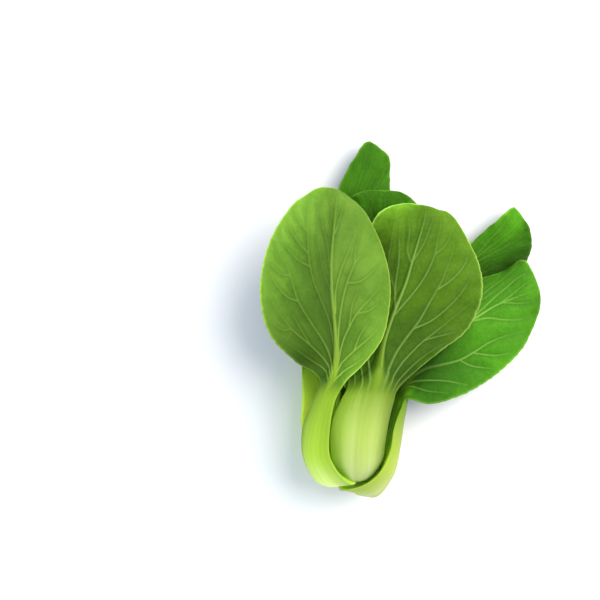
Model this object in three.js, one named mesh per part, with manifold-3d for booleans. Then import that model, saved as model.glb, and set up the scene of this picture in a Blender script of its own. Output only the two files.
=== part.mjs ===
// One head of baby bok choy, as picked, lying on its back on a flat surface.
// Millimetres, +Z up. The head runs along +Y from its cut root end to the leaf tips.
// The origin is in the small flat spot under the bulb that the head rests on.
//
// A leaf is a surface lofted over three rails: its midline and its two margins.
// Left and right are as seen from the leaf's outer face with its tip up, so a leaf on the
// underside of the head has its left margin at +X.

import * as THREE from "three";
import { mergeVertices } from "three/addons/utils/BufferGeometryUtils.js";
import Module from "manifold-3d";

const wasm = await Module();
wasm.setup();

// Driving dimensions
const blade_thickness = 0.8;
const touching_gap = 0.3;
const rib_edge = 0.5; // least height of the midrib over the blade
const rib_outer_share = 0.85; // how much of the midrib stands out of the leaf's outer face
const rib_roundness = 0.8; // 0.5 is an ellipse, more is more pointed
const stalk_end = 0.06; // in stations: where the full stalk stops short of the blade
const blade_end = 0.02;
const rows_per_station = 2; // mesh rows from one station of a leaf to the next
const blade_columns = 8;
const stalk_columns = 6;
const bulb_x = -2.5; // axis of the bulb, along Y
const bulb_z = 26;
const rest_spot_x = -6.5; // where the bulb touches the surface; the origin is put here
const rest_spot_y = 7.5;
const crown = {
  cut_y: -22, // flat face left by the knife
  cut_radius: 6,
  girth_y: -16,
  girth_radius: 7.5,
  top_y: -3,
  top_radius: 3,
  sides: 16,
};

// Colours of the living surfaces
const stalk_green = new THREE.Color(0.53, 0.68, 0.16);
const outer_face_green = new THREE.Color(0.15, 0.3, 0.04);
const inner_face_green = new THREE.Color(0.09, 0.27, 0.02);
const heart_green = new THREE.Color(0.4, 0.55, 0.07);
const root_cream = new THREE.Color(0.72, 0.74, 0.45);

// A station of a leaf: points on the midline, the left and the right margin, and the
// thickness at the midline.
const station = (mid, left, right, thick, more = {}) => ({
  mid,
  left,
  right,
  thick,
  rib: 0, // half-width of the midrib, on the blade's stations
  fold_left: 0, // how far each half bows out (+) or in (-) between midrib and margin
  fold_right: 0,
  ...more,
});

// A station of the blade, with the half-width of its midrib.
const blade_station = (mid, left, right, thick, rib, fold_left = 0, fold_right = 0) =>
  station(mid, left, right, thick, { rib, fold_left, fold_right, on_blade: true });

// A point round the bulb's axis. Azimuth in degrees: 0 is +X and 90 is up.
function around(azimuth, radius, y) {
  const turn = THREE.MathUtils.degToRad(azimuth);
  return [bulb_x + radius * Math.cos(turn), y, bulb_z + radius * Math.sin(turn)];
}

// A station of the stalk's base, where it wraps the bulb: azimuths of the left margin, the
// midline and the right margin.
const base_station = (y, radius, left, mid, right, thick) =>
  station(around(mid, radius, y), around(left, radius, y + 1), around(right, radius, y + 1), thick);

// Leaves from the outermost in. waves: how many, and how high at the margin.
const leaves = [
  {
    name: "front_left_leaf",
    blade_colour: outer_face_green,
    waves: { count: 3, height: 0.6 },
    stations: [
      station(around(140, 8.5, -13), around(190, 8.5, -12), [2.5, -13, 35.5], 4),
      station(around(142, 12.5, -18.8), around(190, 12.5, -17.8), [-0.5, -17.9, 38.5], 5),
      station(around(143, 19, -17), around(193, 19, -16), [-5.5, -15, 44.5], 6.5),
      base_station(-9.5, 24.4, 195, 145, 110, 7),
      station(around(145, 26.9, 0), around(193, 26.7, 0), around(115, 27.5, 0), 7),
      station([-22.5, 14, 44], [-28, 13, 29], [-13.5, 15, 52], 6.5),
      station([-18, 27, 48], [-23, 26, 37], [-11, 27, 52.5], 6),
      blade_station([-13, 36, 52], [-19, 36, 46], [-7.5, 34, 53.5], 5, 7),
      blade_station([-11.3, 43, 54.5], [-22, 42, 51], [-4, 39, 53.5], 4.4, 5.4),
      blade_station([-10.3, 53, 57], [-33, 48.5, 49], [3.5, 46, 50], 3.6, 3.4, -2, -1),
      blade_station([-11, 67.5, 60], [-46, 62.5, 46], [14.5, 61, 47], 3, 2.8, -5, -2),
      blade_station([-12.7, 85, 63], [-51, 81, 45], [18.5, 81, 46], 2.6, 2.3, -6, -2),
      blade_station([-13, 101.5, 64], [-50, 98, 46], [17.6, 97, 47], 2.2, 1.9, -5, -2),
      blade_station([-12, 116, 62], [-45, 114.5, 47], [12.5, 113.5, 48], 1.9, 1.6, -3, -1),
      blade_station([-10.8, 128.5, 58], [-34.5, 131, 47], [4.3, 129, 48], 1.7, 1.3, -1),
      blade_station([-10.3, 136.7, 53], [-23, 139.4, 47.5], [-2.7, 136, 48.5], 1.5, 1.1),
      blade_station([-11, 140.6, 50], [-14.5, 141, 49], [-7.5, 139.6, 49], 1.4, 0.9),
    ],
  },
  {
    name: "right_leaf",
    blade_colour: inner_face_green,
    waves: { count: 3, height: 1.3 },
    stations: [
      station(around(350, 8, -18), [-8, -15, 31], around(285, 8, -17), 4),
      station(around(350, 10, -25), [-7.5, -20.9, 34], around(285, 10, -24), 5),
      station(around(352, 16.5, -24), [3, -19, 41.8], around(288, 16.5, -23), 6.5),
      station(around(354, 23.8, -12.5), [12.6, -12, 44.4], around(296, 23.8, -11.5), 8),
      station(around(350, 26.7, 0), around(36, 26.2, 0), around(302, 27.3, 0), 8.5),
      station([26, 13, 20], [20.8, 12, 38.5], [17, 14, 4.5], 6.5),
      station([28, 25, 19], [24.5, 22, 34], [19, 27, 5], 5.5),
      blade_station([28.5, 33, 18], [28, 27.5, 30], [18, 37, 9], 4.6, 10),
      blade_station([33.5, 43, 17], [41, 24.5, 25], [19, 52, 11.5], 3.6, 4.4),
      blade_station([43, 55, 16], [57, 28.5, 19], [29, 69, 12], 3, 2.8, 1, 0),
      blade_station([54, 64.5, 16], [72, 36.5, 15], [46, 84, 12], 2.6, 2.3, 1, 0),
      blade_station([65.5, 71, 17], [83, 45, 12.5], [66, 92, 12], 2.2, 1.9, 1, 0),
      blade_station([77, 78, 16], [93, 56, 11], [82, 97, 12], 1.9, 1.6),
      blade_station([88, 82.5, 14], [99, 68, 10.5], [91.5, 103, 13], 1.7, 1.3),
      blade_station([96, 85.5, 12.5], [101.5, 78, 10.5], [97, 97, 12.5], 1.5, 1.1),
      blade_station([101.2, 86.7, 11.5], [101.8, 84.5, 11], [100.6, 89, 12], 1.4, 0.9),
    ],
  },
  {
    name: "back_left_leaf",
    blade_colour: inner_face_green,
    waves: { count: 4, height: 1.2 },
    stations: [
      base_station(-13, 9, 300, 238, 184, 4),
      base_station(-20.5, 12.5, 300, 238, 186, 5),
      station(around(236, 19, -18), around(294, 16.5, -17), around(183, 15.5, -16.5), 6),
      station(around(237, 24.6, -9.5), around(292, 21.5, -8), around(180, 20.5, -8), 6.5),
      station([-15, 0, 1.5], around(290, 24.5, 0), around(180, 23.3, 0), 6.5),
      station([-17, 13, 2], [4, 13, 1.5], [-28.8, 13, 24], 6.5),
      station([-21, 26, 6], [-7, 26, 3], [-28.3, 27, 24], 6),
      station([-23, 38, 10], [-15, 38, 7], [-28.5, 39, 20], 5),
      blade_station([-22.5, 48, 11.5], [-14, 50, 8], [-29, 49, 17], 4.4, 6),
      blade_station([-20.5, 59, 11], [-4, 64, 5], [-31, 62, 15], 3.6, 3.4),
      blade_station([-17.5, 72, 9.5], [4, 80, 2.5], [-31.5, 78, 15], 3, 2.8),
      blade_station([-13.5, 88, 8], [10.5, 96, 1], [-28, 96, 15], 2.6, 2.3),
      blade_station([-8, 105, 7], [15, 112, 0.4], [-21, 115, 15], 2.2, 1.9),
      blade_station([-2, 122, 6.5], [18.3, 127, 1], [-12, 135, 15], 1.9, 1.6),
      blade_station([4.5, 139, 6.5], [20, 145, 3], [-3, 153, 14], 1.7, 1.3),
      blade_station([11, 154.5, 7], [19.5, 158, 5], [4, 165.5, 12], 1.5, 1.1),
      blade_station([12.8, 165.3, 8.2], [15.5, 163.8, 7], [9.8, 168.3, 9.5], 1.4, 0.9),
    ],
  },
  {
    name: "back_right_leaf",
    blade_colour: inner_face_green,
    waves: { count: 4, height: 1.2 },
    stations: [
      base_station(-10, 9, 20, 318, 262, 4),
      base_station(-14, 12.5, 12, 318, 270, 5),
      station(around(316, 17, -9), around(2, 15, -8), around(275, 15, -8), 6),
      station(around(314, 20, -1), around(345, 17, -1), around(280, 18, -1), 5.5),
      station(around(313, 21.5, 8), around(344, 17.5, 8), around(285, 20, 8), 6),
      station([13.5, 18, 8], [17.5, 17, 16], [6.5, 18, 7], 5.5),
      station([16.5, 29, 7.5], [20.5, 27, 12], [11, 30, 7], 5),
      blade_station([20.5, 40, 6.5], [25, 37, 7], [16, 43, 6], 4.4, 5),
      blade_station([27, 51, 6], [38, 46, 4.5], [19.5, 61, 6], 3.6, 3.2),
      blade_station([36, 64, 6], [50, 59, 2.8], [27, 78, 6], 3, 2.6),
      blade_station([46, 79, 5.5], [65, 70, 1.5], [37, 92, 6.5], 2.6, 2.2),
      blade_station([56.5, 92.5, 5.5], [79, 82, 0.6], [49, 102.5, 7.5], 2.2, 1.8),
      blade_station([67, 104, 6], [90.5, 96, 1.2], [62, 111, 8.5], 1.9, 1.5),
      blade_station([78.5, 113.5, 7], [97.5, 109, 3], [73.5, 120.5, 10], 1.7, 1.3),
      blade_station([87, 120.5, 8.5], [96.5, 119, 6], [83, 129.5, 10.5], 1.5, 1.1),
      blade_station([91.5, 127.5, 9], [94, 124.5, 8.5], [88.5, 132.5, 10], 1.4, 0.9),
    ],
  },
  {
    name: "front_leaf",
    blade_colour: outer_face_green,
    waves: { count: 4, height: 0.9 },
    stations: [
      base_station(-8, 8.5, 130, 80, 32, 4),
      station([1.5, -16.2, 38.5], [-6, -13.5, 35], [9, -13, 34], 6),
      station([3.3, -10, 46], [-12, -6.5, 39], [14.5, -5.5, 37], 7.5),
      station([4.2, 2, 49.5], [-13.5, 4, 41], [16, 4, 39], 7.5),
      station([6.5, 16, 48.5], [-12.5, 16, 42], [18, 16, 39.5], 7),
      station([9, 28, 46.5], [-8, 27, 42], [20.5, 26, 39.5], 6),
      blade_station([11, 36, 45], [-4.5, 34, 42], [23, 33, 38], 5, 12),
      blade_station([13, 45, 43.5], [-3, 43, 40], [32, 42, 35], 4, 6),
      blade_station([15.5, 59, 41.5], [-1, 56, 36], [47, 54, 31], 3.4, 3.6, 0, -1),
      blade_station([21, 75, 40.5], [2, 71, 33], [61, 65, 28], 3, 2.8, 0, -1),
      blade_station([27, 90, 41], [5, 86, 32], [68.5, 82, 28], 2.6, 2.3, 0, -1),
      blade_station([31, 104, 42], [6.5, 102, 34], [67.5, 99, 30], 2.2, 1.9, 0, -1),
      blade_station([35, 117, 42], [7, 116, 37], [60, 115, 33], 1.9, 1.6),
      blade_station([37.2, 125.5, 41], [12, 127, 39], [51.5, 127, 36], 1.7, 1.3),
      blade_station([37.5, 130, 39.5], [22, 132.4, 39.5], [43.5, 130, 38], 1.5, 1.1),
      blade_station([36, 132, 38.5], [32, 133, 38.8], [39, 131.4, 38], 1.4, 0.9),
    ],
  },
  {
    name: "back_leaf",
    blade_colour: inner_face_green,
    waves: { count: 5, height: 1.4 },
    stations: [
      base_station(-7.5, 7, 300, 260, 210, 3.5),
      base_station(-9.5, 9.5, 298, 260, 212, 4),
      station([-4.5, -4, 12.5], [2.5, -3, 15], [-13, -3, 16.5], 5),
      station([-4, 7, 11.5], [3, 7, 14.5], [-13, 7, 16.5], 5),
      station([-2.5, 19, 11], [4.5, 19, 14], [-11, 19, 15], 5),
      station([-0.5, 31, 12], [6, 31, 14], [-7.5, 31, 14.5], 4.6),
      blade_station([2.5, 43, 13.5], [9.5, 44, 14.5], [-5.5, 44, 15.5], 4.2, 6),
      blade_station([5, 56, 16], [18, 60, 14.5], [-9, 62, 17], 3.4, 3.2),
      blade_station([8, 72, 18.5], [27, 79, 15], [-11.5, 80, 18], 3, 2.6),
      blade_station([11, 90, 20.5], [34, 96, 16], [-11, 98, 19], 2.6, 2.2),
      blade_station([13.5, 107, 22], [38, 112, 18], [-10, 115, 20], 2.2, 1.8),
      blade_station([15.5, 122, 23.5], [38, 126, 20.5], [-6.5, 130, 22], 1.9, 1.5),
      blade_station([16.5, 133, 24.5], [31, 136, 22.5], [-0.5, 138, 24], 1.7, 1.2),
      blade_station([16.8, 140.5, 25], [22.5, 140.8, 24.5], [10, 141.2, 25], 1.5, 0.9),
    ],
  },
  heart_leaf("heart_leaf_upper", 78, 10, 58, 11),
  heart_leaf("heart_leaf_left", 195, 8.5, 50, 9),
  heart_leaf("heart_leaf_right", 318, 8, 44, 8),
];

// A young leaf of the heart: azimuth in degrees round the head's axis, distance out from
// that axis, reach along it and half-width of its cupped blade.
function heart_leaf(name, azimuth, out, reach, half_width) {
  const axis_x = -1; // the heart sits a little above the bulb's axis
  const axis_z = 29;
  const turn = THREE.MathUtils.degToRad(azimuth);
  const outward = [Math.cos(turn), Math.sin(turn)];
  const rightward = [Math.sin(turn), -Math.cos(turn)];
  const at = (y, distance, aside) => [
    axis_x + outward[0] * distance + rightward[0] * aside,
    y,
    axis_z + outward[1] * distance + rightward[1] * aside,
  ];
  const row = (y, distance, half, tuck, thick, rib) =>
    station(at(y, distance, 0), at(y, distance - tuck, -half), at(y, distance - tuck, half), thick, {
      rib,
      on_blade: rib > 0,
    });
  return {
    name,
    blade_colour: heart_green,
    waves: { count: 2, height: 0.3 },
    stations: [
      row(-6, 0.4 * out, 2.5, 0.5, 3, 0),
      row(4, out, 5, 2, 3.4, 0),
      row(16, out, 5, 2, 3, 0),
      row(0.45 * reach, 0.9 * out, 3.5, 1, 2.6, 0),
      row(0.55 * reach, 0.85 * out, 5, 1, 2.2, 2.2),
      row(0.68 * reach, 0.85 * out, 0.85 * half_width, 2, 1.9, 1.6),
      row(0.82 * reach, 0.8 * out, half_width, 2.5, 1.7, 1.3),
      row(0.94 * reach, 0.6 * out, 0.7 * half_width, 1.5, 1.5, 1),
      row(reach, 0.4 * out, 0.2 * half_width, 0.2, 1.4, 0.8),
    ],
  };
}

// The smooth surface of a leaf and its thickness. along runs from 0 at the root to the last
// station's number at the tip, across from -1 at the left margin to 1 at the right one.
class LeafSurface {
  constructor(leaf) {
    this.leaf = leaf;
    this.last = leaf.stations.length - 1;
    this.blade_start = leaf.stations.findIndex((row) => row.on_blade);
    this.rails = {};
    for (const rail of ["mid", "left", "right"]) {
      const points = leaf.stations.map((row) => new THREE.Vector3(...row[rail]));
      this.rails[rail] = new THREE.CatmullRomCurve3(points, false, "catmullrom", 0.5);
    }
  }

  // A number given at the stations, in a straight line between them.
  between(key, along) {
    const low = Math.min(Math.floor(along), this.last - 1);
    const share = along - low;
    const rows = this.leaf.stations;
    return rows[low][key] * (1 - share) + rows[low + 1][key] * share;
  }

  rail(name, along) {
    return this.rails[name].getPoint(THREE.MathUtils.clamp(along / this.last, 0, 1));
  }

  // How far along the change from stalk to blade is, from 0 to 1.
  bladeness(along) {
    return THREE.MathUtils.smoothstep(along, this.blade_start - 1, this.blade_start + 1);
  }

  // The middle of the leaf's thickness.
  point(along, across) {
    const mid = this.rail("mid", along);
    const left = this.rail("left", along);
    const right = this.rail("right", along);
    const half_chord = right.clone().sub(left).multiplyScalar(0.5);
    const sag = right.clone().add(left).multiplyScalar(0.5).sub(mid);
    const found = mid.clone();
    found.addScaledVector(half_chord, across);
    found.addScaledVector(sag, across * across);
    const step = 0.02;
    const onward = this.rail("mid", along + step).sub(this.rail("mid", along - step));
    const out = half_chord.cross(onward).normalize();
    found.addScaledVector(out, this.relief(along, across));
    found.z = Math.max(found.z, blade_thickness / 2); // what droops lies on the surface
    return found;
  }

  // Fold between the midrib and the margin, and waves that grow towards the margin.
  relief(along, across) {
    const side = Math.abs(across);
    const fold = this.between(across < 0 ? "fold_left" : "fold_right", along);
    const { count, height } = this.leaf.waves;
    const on_blade = THREE.MathUtils.clamp((along - this.blade_start) / 2, 0, 1);
    const fade = on_blade * THREE.MathUtils.clamp((this.last - along) / 1.5, 0, 1);
    const share = (along - this.blade_start) / (this.last - this.blade_start);
    const phase = across < 0 ? 0.6 : 2.1;
    const wave = height * side ** 3 * Math.sin(2 * Math.PI * count * share + phase);
    return 4 * fold * side * (1 - side) + fade * wave;
  }

  normal(along, across) {
    const step = 0.03;
    const from_along = Math.max(along - step, 0);
    const to_along = Math.min(along + step, this.last);
    const onward = this.point(to_along, across).sub(this.point(from_along, across));
    const aside = this.point(along, across + step).sub(this.point(along, across - step));
    return aside.cross(onward).normalize();
  }

  half_width(along, across) {
    const margin = this.rail(across < 0 ? "left" : "right", along);
    return margin.distanceTo(this.rail("mid", along));
  }

  // Half-width of the thick part: the whole stalk, then the narrowing midrib.
  core(along, across) {
    const width = this.half_width(along, across);
    const rib = Math.min(this.between("rib", Math.max(along, this.blade_start)), width);
    const share = THREE.MathUtils.clamp(along - this.blade_start + 1, 0, 1);
    return THREE.MathUtils.lerp(width, rib, share);
  }

  // Thickness beyond the blade's own, rounded off towards the edge of the thick part.
  swell(along, across) {
    const distance = Math.abs(across) * this.half_width(along, across);
    const share = Math.min(distance / this.core(along, across), 1);
    return (this.between("thick", along) - blade_thickness) * (1 - share ** 2) ** rib_roundness;
  }

  // Distances of the outer and inner faces from the middle surface.
  stalk_faces(along, across) {
    const bladeness = this.bladeness(along);
    const lift = (touching_gap + rib_edge) * bladeness;
    const swell = this.swell(along, across);
    const outer = blade_thickness / 2 + lift + rib_outer_share * bladeness * swell;
    if (along >= this.blade_start) return [outer, -(blade_thickness / 2 + touching_gap)];
    const inner_share = 1 - 0.6 * bladeness;
    return [outer, blade_thickness / 2 + inner_share * swell];
  }
}

// A closed sheet over a grid of (along, across) places, with its two faces split alike.
function sheet(surface, alongs, columns, across_of, faces_of, grow = 0) {
  const points = [];
  const floor = grow > 0 ? -Infinity : 0;
  for (const side of [0, 1]) {
    for (const along of alongs) {
      for (let column = 0; column <= columns; column++) {
        const share = (2 * column) / columns - 1;
        const across = across_of(along, share);
        const distance = faces_of(along, across)[side] + grow;
        const normal = surface.normal(along, across);
        const place = surface.point(along, across);
        place.addScaledVector(normal, side === 0 ? distance : -distance);
        if (grow > 0 && Math.abs(share) === 1) {
          const inward = surface.point(along, across_of(along, 0.9 * share)).sub(place);
          place.addScaledVector(inward.normalize(), -grow);
        }
        place.z = Math.max(place.z, floor);
        points.push(place.x, place.y, place.z);
      }
    }
  }
  const wide = columns + 1;
  const inner_start = alongs.length * wide;
  const index = [];
  const quad = (a, b, c, d) => index.push(a, b, c, a, c, d);
  for (let row = 0; row + 1 < alongs.length; row++) {
    for (let column = 0; column < columns; column++) {
      const a = row * wide + column;
      const [b, c, d] = [a + 1, a + wide + 1, a + wide];
      quad(a, b, c, d);
      index.push(a + inner_start, c + inner_start, b + inner_start);
      index.push(a + inner_start, d + inner_start, c + inner_start);
    }
    const left = row * wide;
    const right = left + columns;
    quad(left + inner_start, left, left + wide, left + wide + inner_start);
    quad(right, right + inner_start, right + wide + inner_start, right + wide);
  }
  const last_row = (alongs.length - 1) * wide;
  for (let column = 0; column < columns; column++) {
    quad(column + 1, column, column + inner_start, column + 1 + inner_start);
    const tip = last_row + column;
    quad(tip, tip + 1, tip + 1 + inner_start, tip + inner_start);
  }
  const geometry = new THREE.BufferGeometry();
  geometry.setAttribute("position", new THREE.Float32BufferAttribute(points, 3));
  geometry.setIndex(index);
  return geometry;
}

// Mesh rows from one place along a leaf to another.
const evenly = (from, to) => {
  const count = Math.round((to - from) * rows_per_station);
  return Array.from({ length: count + 1 }, (_, i) => from + ((to - from) * i) / count);
};

function stalk_geometry(surface, grow) {
  const rib_end = surface.last - 0.5; // the midrib fades out before the tip
  const start = surface.blade_start;
  const alongs = [
    ...evenly(0, start - 0.5),
    start - stalk_end,
    ...evenly(start, rib_end),
  ];
  const across_of = (along, share) =>
    (share * surface.core(along, share)) / surface.half_width(along, share);
  const faces_of = (along, across) => surface.stalk_faces(along, across);
  return sheet(surface, alongs, stalk_columns, across_of, faces_of, grow);
}

function blade_geometry(surface, grow) {
  const alongs = evenly(surface.blade_start, surface.last);
  alongs[0] += blade_end;
  const half = blade_thickness / 2;
  return sheet(surface, alongs, blade_columns, (_, share) => share, () => [half, half], grow);
}

// The short stem inside the bulb that every stalk grows from, with its flat cut end.
function crown_geometry(grow) {
  const { cut_y, cut_radius, girth_y, girth_radius, top_y, top_radius, sides } = crown;
  const profile = [
    [0, cut_y - grow],
    [cut_radius + grow, cut_y - grow],
    [girth_radius - 0.5 + grow, girth_y - 3],
    [girth_radius + grow, girth_y],
    [0.7 * girth_radius + grow, 0.5 * (girth_y + top_y)],
    [top_radius + grow, top_y + grow],
    [0, top_y + 1 + grow],
  ];
  const points = profile.map(([radius, y]) => new THREE.Vector2(radius, y));
  const geometry = new THREE.LatheGeometry(points, sides);
  geometry.translate(bulb_x, 0, bulb_z);
  return geometry;
}

function solid_of(geometry) {
  const bare = new THREE.BufferGeometry();
  bare.setAttribute("position", geometry.getAttribute("position"));
  bare.setIndex(geometry.index);
  const merged = mergeVertices(bare, 1e-3);
  return new wasm.Manifold(
    new wasm.Mesh({
      numProp: 3,
      vertProperties: merged.attributes.position.array,
      triVerts: new Uint32Array(merged.index.array),
    }),
  );
}

function geometry_of(solid) {
  const mesh = solid.getMesh();
  const geometry = new THREE.BufferGeometry();
  geometry.setAttribute("position", new THREE.BufferAttribute(mesh.vertProperties, 3));
  geometry.setIndex(new THREE.BufferAttribute(mesh.triVerts, 1));
  geometry.translate(-rest_spot_x, -rest_spot_y, 0);
  return geometry;
}

// The solid less what it shares with the pieces outside it, and less any loose scrap.
function cleared(solid, pieces_outside) {
  let left = solid;
  for (const piece of pieces_outside) {
    if (left.intersect(piece).volume() > 0) left = left.subtract(piece);
  }
  const bodies = left.decompose();
  bodies.sort((a, b) => b.volume() - a.volume());
  return bodies[0];
}

const head = new THREE.Group();

function add_node(name, solid, color) {
  const material = new THREE.MeshStandardMaterial({ color, roughness: 0.5, metalness: 0 });
  const mesh = new THREE.Mesh(geometry_of(solid), material);
  mesh.name = name;
  head.add(mesh);
}

add_node("crown", solid_of(crown_geometry(0)), root_cream);
const taken = [solid_of(crown_geometry(touching_gap))];
for (const leaf of leaves) {
  const surface = new LeafSurface(leaf);
  const stalk = cleared(solid_of(stalk_geometry(surface, 0)), taken);
  const own_stalk = solid_of(stalk_geometry(surface, touching_gap / 3));
  const blade = cleared(solid_of(blade_geometry(surface, 0)), [...taken, own_stalk]);
  add_node(`${leaf.name}_stalk`, stalk, stalk_green);
  add_node(`${leaf.name}_blade`, blade, leaf.blade_colour);
  taken.push(stalk, blade);
  taken.push(solid_of(stalk_geometry(surface, touching_gap)));
  taken.push(solid_of(blade_geometry(surface, touching_gap)));
}

export default head;
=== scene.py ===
import math

import bpy
import numpy as np
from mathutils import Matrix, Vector, kdtree


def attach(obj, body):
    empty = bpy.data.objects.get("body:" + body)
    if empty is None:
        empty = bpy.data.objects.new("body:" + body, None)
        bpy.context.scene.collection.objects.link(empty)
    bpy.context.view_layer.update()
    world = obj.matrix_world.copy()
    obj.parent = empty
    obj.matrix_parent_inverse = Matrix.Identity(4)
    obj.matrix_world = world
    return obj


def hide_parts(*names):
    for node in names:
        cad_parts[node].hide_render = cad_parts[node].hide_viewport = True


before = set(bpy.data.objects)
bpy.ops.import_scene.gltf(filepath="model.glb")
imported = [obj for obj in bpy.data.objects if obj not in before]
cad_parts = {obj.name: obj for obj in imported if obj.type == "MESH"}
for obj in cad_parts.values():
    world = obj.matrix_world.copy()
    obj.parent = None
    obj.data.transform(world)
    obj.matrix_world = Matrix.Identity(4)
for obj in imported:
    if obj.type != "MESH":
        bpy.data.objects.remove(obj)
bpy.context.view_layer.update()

# One head of baby bok choy: the fine surface of every leaf over the plain solids.
# Lengths are in millimetres until a mesh is made, and the leaves' stations are given from
# the bulb's own axis, so the whole head is moved to stand over its resting spot at the end.

MM = 0.001
BULB_X = -2.5
BULB_Z = 26
REST_SPOT = np.array([-6.5, 7.5, 0])

BLADE_THICKNESS = 0.8
LEAST_SWELL = 0.3
RIB_OUTER_SHARE = 0.85
RIB_ROUNDNESS = 0.8
STALK_RIDGES = 4
RIDGE_HEIGHT = 0.035
MARGIN_NICKS = 0.0028
PUCKER_REACH = 3.5
LIP_WIDTH = 0.7

# Veins stand out by a share of their width, and less on the inner face
VEIN_HEIGHT = 0.45
VEIN_INNER_SHARE = 0.45
WIDEST_RAISED_VEIN = 1.8
VEIN_SHADE_WIDTH = 1.3
VEIN_SAMPLES = 400
VEIN_SPREAD = 0.86

# Columns of a leaf's grid crowd towards its margins, and its last row leaves a short blunt tip
COLUMN_CROWDING = 0.86
TIP_LENGTH = 0.3
TIP_CLOSING = 0.985


# Stations of a leaf, from the root to the tip

def station(mid, left, right, thick, rib=0, fold_left=0, fold_right=0):
    """Points on the midline and the two margins, and the thickness at the midline."""
    return {
        "mid": mid,
        "left": left,
        "right": right,
        "thick": thick,
        "rib": rib,
        "fold_left": fold_left,
        "fold_right": fold_right,
    }


def around(azimuth, radius, y):
    """A point round the bulb's axis: azimuth 0 is +X and 90 is up."""
    turn = math.radians(azimuth)
    return [BULB_X + radius * math.cos(turn), y, BULB_Z + radius * math.sin(turn)]


def base_station(y, radius, left, mid, right, thick):
    """A station where the stalk wraps the bulb, by its three azimuths."""
    return station(
        around(mid, radius, y), around(left, radius, y + 1), around(right, radius, y + 1), thick
    )


FRONT_LEFT = [
    station(around(140, 8.5, -13), around(190, 8.5, -12), [2.5, -13, 35.5], 4),
    station(around(142, 12.5, -18.8), around(190, 12.5, -17.8), [-0.5, -17.9, 38.5], 5),
    station(around(143, 19, -17), around(193, 19, -16), [-5.5, -15, 44.5], 6.5),
    base_station(-9.5, 24.4, 195, 145, 110, 7),
    station(around(145, 26.9, 0), around(193, 26.7, 0), around(115, 27.5, 0), 7),
    station([-22.5, 14, 44], [-28, 13, 29], [-13.5, 15, 52], 6.5),
    station([-18, 27, 48], [-23, 26, 37], [-11, 27, 52.5], 6),
    station([-13, 36, 52], [-19, 36, 46], [-7.5, 34, 53.5], 5, 7),
    station([-11.3, 43, 54.5], [-22, 42, 51], [-4, 39, 53.5], 4.4, 5.4),
    station([-10.3, 53, 57], [-33, 48.5, 49], [3.5, 46, 50], 3.6, 3.4, -2.5, -0.5),
    station([-11, 67.5, 60], [-46, 62.5, 46], [14.5, 61, 47], 3, 2.8, -7, -1),
    station([-12.7, 85, 63], [-51, 81, 45], [18.5, 81, 46], 2.6, 2.3, -8, -1),
    station([-13, 101.5, 64], [-50, 98, 46], [17.6, 97, 47], 2.2, 1.9, -6.5, -1),
    station([-12, 116, 62], [-45, 114.5, 47], [12.5, 113.5, 48], 1.9, 1.6, -3.5, -0.5),
    station([-10.8, 128.5, 58], [-34.5, 131, 47], [4.3, 129, 48], 1.7, 1.3, -1),
    station([-10.8, 136.7, 53], [-23.6, 139.4, 47.5], [-2.5, 135, 48.5], 1.5, 1.1),
    station([-12.5, 140.8, 50], [-17.5, 141.3, 49], [-7.8, 138.9, 49], 1.4, 0.9),
]
RIGHT = [
    station(around(350, 8, -18), [-8, -15, 31], around(285, 8, -17), 4),
    station(around(350, 10, -25), [-7.5, -20.9, 34], around(285, 10, -24), 5),
    station(around(352, 16.5, -24), [3, -19, 41.8], around(288, 16.5, -23), 6.5),
    station(around(354, 23.8, -12.5), [12.6, -12, 44.4], around(296, 23.8, -11.5), 8),
    station(around(350, 26.7, 0), around(36, 26.2, 0), around(302, 27.3, 0), 8.5),
    station([26, 13, 20], [20.8, 12, 38.5], [17, 14, 4.5], 6.5),
    station([28, 25, 19], [24.5, 22, 34], [20.5, 26.5, 6], 5.5),
    station([28.5, 33, 18], [28, 27.5, 30], [20, 36, 11], 4.6, 10),
    station([33.5, 43, 17], [41, 24.5, 25], [19, 52, 11.5], 3.6, 4.4),
    station([43, 55, 16], [57, 28.5, 19], [29, 69, 12], 3, 2.8, 1, 0),
    station([54, 64.5, 16], [72, 36.5, 15], [46, 84, 12], 2.6, 2.3, 1, 0),
    station([65.5, 71, 17], [83, 45, 12.5], [66, 92, 12], 2.2, 1.9, 1, 0),
    station([77, 78, 16], [93, 56, 11], [82, 97, 12], 1.9, 1.6),
    station([88, 82.5, 14], [99, 68, 10.5], [91.5, 103, 13], 1.7, 1.3),
    station([96, 85.5, 12.5], [101.5, 78, 10.5], [97, 97, 12.5], 1.5, 1.1),
    station([101.2, 86.7, 11.5], [101.8, 84.5, 11], [100.6, 89, 12], 1.4, 0.9),
]
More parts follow.
